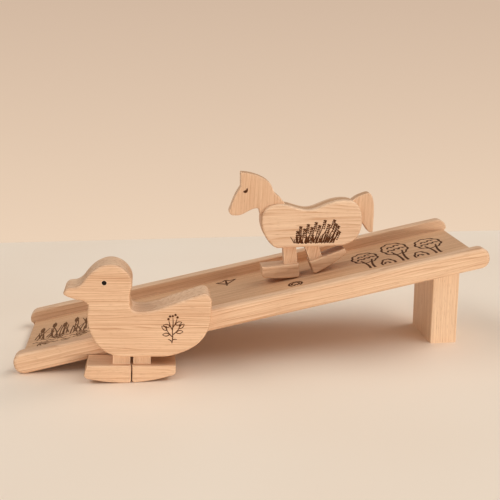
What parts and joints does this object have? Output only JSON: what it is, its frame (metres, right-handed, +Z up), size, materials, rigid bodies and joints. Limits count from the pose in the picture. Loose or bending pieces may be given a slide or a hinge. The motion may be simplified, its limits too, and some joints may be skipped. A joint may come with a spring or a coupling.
{
  "type": "ramp walker toy",
  "caption": "Wooden ramp with side rails on a support block, with a duck and a horse that waddle down it on a swinging rear leg.",
  "frame": {"origin": "centre of the bounding box at the level of the table that the set stands on", "axes": "+X runs up the ramp, +Y from the near rail to the far rail, +Z up; both animals face down the ramp, towards -X"},
  "size_m": [0.3926, 0.1554, 0.1501],
  "materials": {
    "deck_wood": "bare sanded, unfinished",
    "rail_wood": "bare sanded, unfinished",
    "block_wood": "bare sanded, unfinished",
    "duck_wood": "bare sanded, unfinished",
    "horse_wood": "bare sanded, unfinished",
    "dowel_wood": "bare sanded, unfinished"
  },
  "bodies": {
    "ramp": {"deck": "deck_wood", "near_rail": "rail_wood", "far_rail": "rail_wood", "support_block": "block_wood", "support_dowels": "dowel_wood"},
    "duck": {"duck_core": "duck_wood", "duck_near_side": "duck_wood", "duck_far_side": "duck_wood", "duck_front_post": "duck_wood", "duck_front_foot": "duck_wood", "duck_front_dowel": "dowel_wood", "duck_hinge_pin": "dowel_wood"},
    "duck_rear_leg": {"duck_rear_post": "duck_wood", "duck_rear_foot": "duck_wood", "duck_rear_dowel": "dowel_wood"},
    "horse": {"horse_core": "horse_wood", "horse_near_flank": "horse_wood", "horse_far_flank": "horse_wood", "horse_front_post": "horse_wood", "horse_front_foot": "horse_wood", "horse_front_dowel": "dowel_wood", "horse_hinge_pin": "dowel_wood"},
    "horse_rear_leg": {"horse_rear_post": "horse_wood", "horse_rear_foot": "horse_wood", "horse_rear_dowel": "dowel_wood"}
  },
  "joints": [
    {"name": "horse_walk", "type": "slide", "parent": "ramp", "child": "horse", "axis": [0.9799, 0, 0.1994], "range_m": [-0.195, 0.1]},
    {"name": "horse_rear_leg_swing", "type": "hinge", "parent": "horse", "child": "horse_rear_leg", "pos_m": [0.04715, 0.02575, 0.09897], "axis": [0, -1, 0], "range_deg": [-16, 3]},
    {"name": "duck_walk", "type": "slide", "parent": "ramp", "child": "duck", "axis": [1, 0, 0], "range_m": [-0.1, 0.25]},
    {"name": "duck_rear_leg_swing", "type": "hinge", "parent": "duck", "child": "duck_rear_leg", "pos_m": [-0.09788, -0.06375, 0.03122], "axis": [0, -1, 0], "range_deg": [0, 15]}
  ]
}
